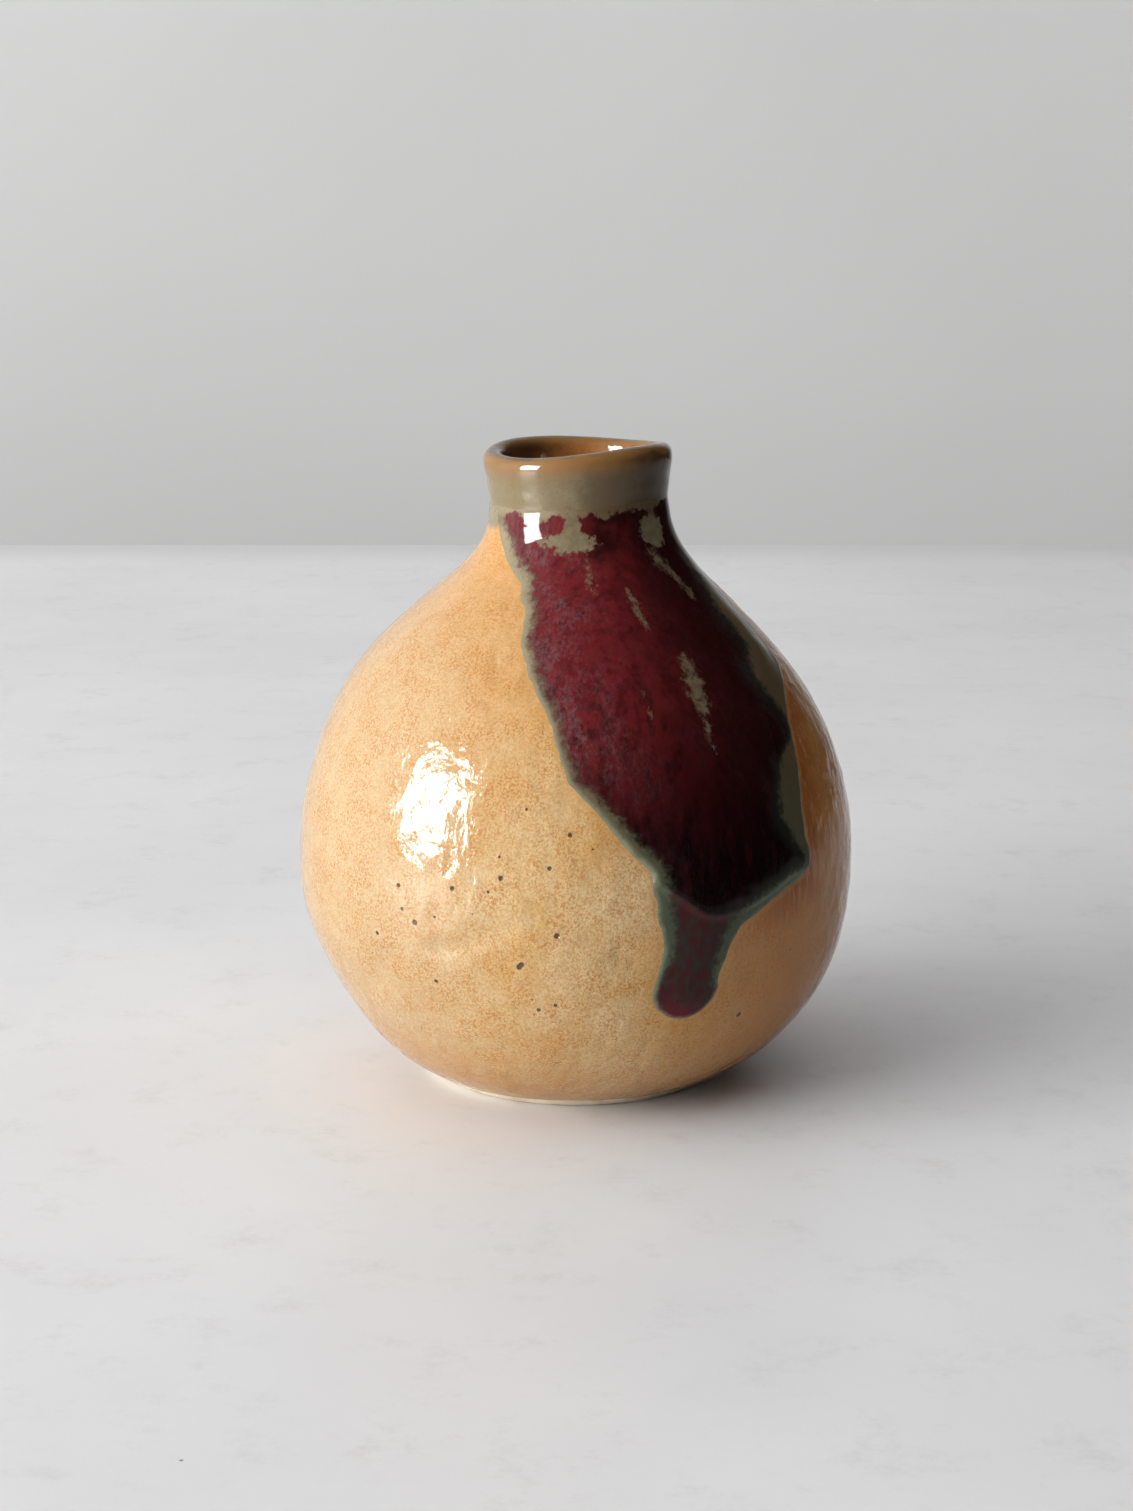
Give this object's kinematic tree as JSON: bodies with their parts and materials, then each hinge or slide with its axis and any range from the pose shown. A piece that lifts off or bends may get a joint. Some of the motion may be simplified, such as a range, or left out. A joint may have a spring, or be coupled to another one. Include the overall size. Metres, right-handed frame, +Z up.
{
  "type": "bud vase",
  "caption": "Squat hand-thrown round bud vase with a short collared neck, a foot ring and layered glazes with a poured run.",
  "frame": {"origin": "middle of the bounding box's bottom face, on the plane the foot rests on", "axes": "+Z up along the turning axis through the mouth; -Y is the front, where the dark red glaze runs down"},
  "size_m": [0.1006, 0.1006, 0.1158],
  "materials": {
    "stoneware_body": "bare fired stoneware, matte, wiped smooth at the foot",
    "liner_glaze": "glossy orange-brown liner glaze",
    "buff_glaze": "glossy buff glaze with fine brown mottle, iron specks and pinholes",
    "oxblood_pour": "high-gloss copper red, streaked, with a grey-green edge",
    "celadon_collar": "glossy translucent olive celadon, breaking brown on the lip"
  },
  "bodies": {
    "root": {"stoneware_body": "stoneware_body", "liner_glaze": "liner_glaze", "buff_glaze": "buff_glaze", "oxblood_pour": "oxblood_pour", "celadon_collar": "celadon_collar"}
  },
  "joints": []
}
